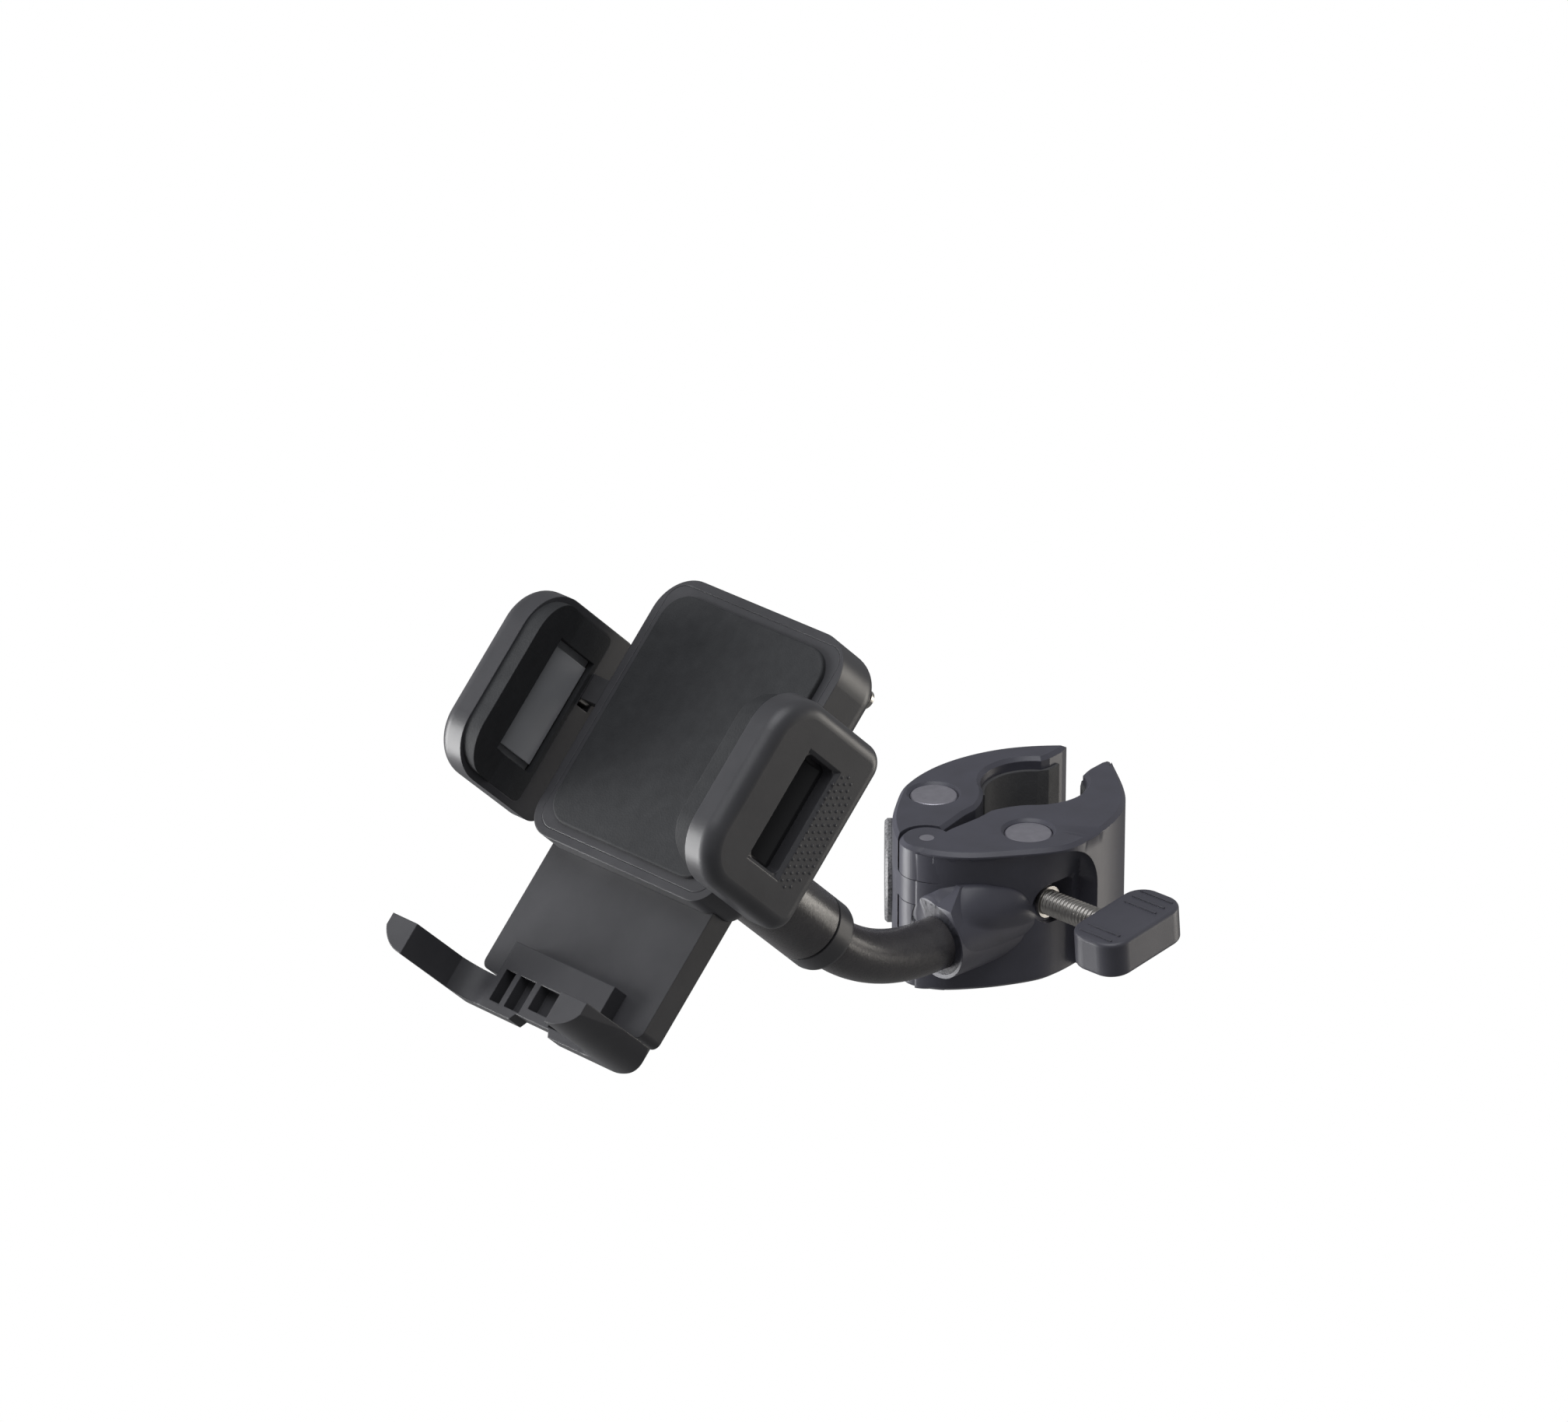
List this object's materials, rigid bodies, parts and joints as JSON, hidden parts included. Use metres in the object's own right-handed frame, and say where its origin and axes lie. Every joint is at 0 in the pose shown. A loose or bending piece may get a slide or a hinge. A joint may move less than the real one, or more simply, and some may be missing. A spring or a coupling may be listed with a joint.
{
  "type": "phone holder with bar clamp",
  "caption": "Phone cradle with spring side arms and a pull-out foot, carried by a ball joint and a bent tube on a claw clamp for a round bar.",
  "frame": {"origin": "on the axis of the gripped bar, half way up the clamp jaws", "axes": "+Z along the bar axis, upwards; +X from the hinge pin of the clamp towards its open mouth"},
  "size_m": [0.203, 0.102, 0.111],
  "materials": {
    "jaw_paint": "satin",
    "arm_paint": "semi-gloss",
    "bright_steel": "satin",
    "rubber": "matte",
    "black_plastic": "satin",
    "grip_plastic": "matte",
    "knob_plastic": "satin",
    "nylon": "satin"
  },
  "bodies": {
    "clamp_and_arm": {"front_jaw": "jaw_paint", "front_jaw_pad": "rubber", "pivot_pin": "bright_steel", "arm_tube": "arm_paint", "arm_sleeve": "arm_paint", "arm_collar": "black_plastic", "ball_stud": "bright_steel"},
    "moving_jaw": {"rear_jaw": "jaw_paint", "rear_jaw_pad": "rubber"},
    "front_swivel": {"swivel_barrel": "bright_steel"},
    "screw": {"clamp_screw": "bright_steel", "screw_clips": "bright_steel", "knob": "knob_plastic"},
    "rear_swivel": {"nut_barrel": "bright_steel"},
    "inner_cup": {"friction_cup": "nylon"},
    "outer_cap": {"pressure_cap": "nylon"},
    "cradle": {"cradle_housing": "black_plastic", "front_cover": "black_plastic", "front_cushion": "rubber", "cover_screws": "bright_steel", "button_spring": "bright_steel", "opening_spring": "bright_steel"},
    "ball_lock": {"lock_nut": "black_plastic"},
    "left_side": {"left_arm": "black_plastic", "left_pad": "rubber", "left_grip_bar": "grip_plastic", "left_rack": "nylon", "left_arm_screws": "bright_steel"},
    "right_side": {"right_arm": "black_plastic", "right_pad": "rubber", "right_grip_bar": "grip_plastic", "right_rack": "nylon", "right_arm_screws": "bright_steel"},
    "gear": {"pinion": "nylon"},
    "foot_part": {"foot_slide": "black_plastic", "foot": "black_plastic", "foot_screws": "bright_steel"},
    "button": {"release_button": "grip_plastic"}
  },
  "joints": [
    {"name": "knob_turn", "type": "hinge", "parent": "front_swivel", "child": "screw", "pos_m": [-0.0211, -0.01512, 0.0016], "axis": [-0.0541, -0.9985, 0], "range_deg": [-824, 1978]},
    {"name": "jaw_hinge", "type": "hinge", "parent": "clamp_and_arm", "child": "moving_jaw", "pos_m": [-0.0385, 0, 0], "axis": [0, 0, 1], "range_deg": [-7.5, 18]},
    {"name": "front_barrel_swing", "type": "hinge", "parent": "clamp_and_arm", "child": "front_swivel", "pos_m": [-0.0211, -0.01512, 0], "axis": [0, 0, 1], "range_deg": [-3.75, 9]},
    {"name": "rear_barrel_swing", "type": "hinge", "parent": "moving_jaw", "child": "rear_swivel", "pos_m": [-0.01957, 0.01316, 0], "axis": [0, 0, 1], "range_deg": [-9, 3.75]},
    {"name": "ball_nod", "type": "hinge", "parent": "clamp_and_arm", "child": "inner_cup", "pos_m": [-0.10956, 0.0014, 0.03932], "axis": [-0.1292, -0.9914, 0.02], "range_deg": [-22, 22]},
    {"name": "ball_swing", "type": "hinge", "parent": "inner_cup", "child": "outer_cap", "pos_m": [-0.10956, 0.0014, 0.03932], "axis": [0.6923, -0.0757, 0.7176], "range_deg": [-22, 22]},
    {"name": "ball_roll", "type": "hinge", "parent": "outer_cap", "child": "cradle", "pos_m": [-0.10956, 0.0014, 0.03932], "axis": [-0.7099, 0.1066, 0.6962], "continuous": true},
    {"name": "lock_nut_turn", "type": "hinge", "parent": "cradle", "child": "ball_lock", "pos_m": [-0.10956, 0.0014, 0.03932], "axis": [-0.7099, 0.1066, 0.6962], "range_deg": [-40, 120]},
    {"name": "left_arm_slide", "type": "slide", "parent": "cradle", "child": "left_side", "axis": [0.1292, 0.9914, -0.02], "range_m": [-0.005, 0.013], "deforming": ["opening_spring"]},
    {"name": "right_arm_slide", "type": "slide", "parent": "cradle", "child": "right_side", "axis": [-0.1292, -0.9914, 0.02], "range_m": [-0.005, 0.013]},
    {"name": "pinion_turn", "type": "hinge", "parent": "cradle", "child": "gear", "pos_m": [-0.11888, 0.00305, 0.06117], "axis": [-0.7099, 0.1066, 0.6962], "range_deg": [-57.4, 149.1]},
    {"name": "foot_slide_out", "type": "slide", "parent": "cradle", "child": "foot_part", "axis": [-0.6923, 0.0757, -0.7176], "range_m": [-0.01, 0.027]},
    {"name": "button_press", "type": "slide", "parent": "cradle", "child": "button", "axis": [-0.7099, 0.1066, 0.6962], "range_m": [0, 0.0015], "stiffness_N_per_m": 500, "springref_m": -0.002, "deforming": ["button_spring"]}
  ],
  "couplings": [
    {"joint": "jaw_hinge", "follows": "knob_turn", "ratio": 0.0091},
    {"joint": "front_barrel_swing", "follows": "knob_turn", "ratio": 0.00455},
    {"joint": "rear_barrel_swing", "follows": "knob_turn", "ratio": -0.00455},
    {"joint": "right_arm_slide", "follows": "left_arm_slide", "ratio": 1},
    {"joint": "pinion_turn", "follows": "left_arm_slide", "rad_per_m": 200}
  ]
}
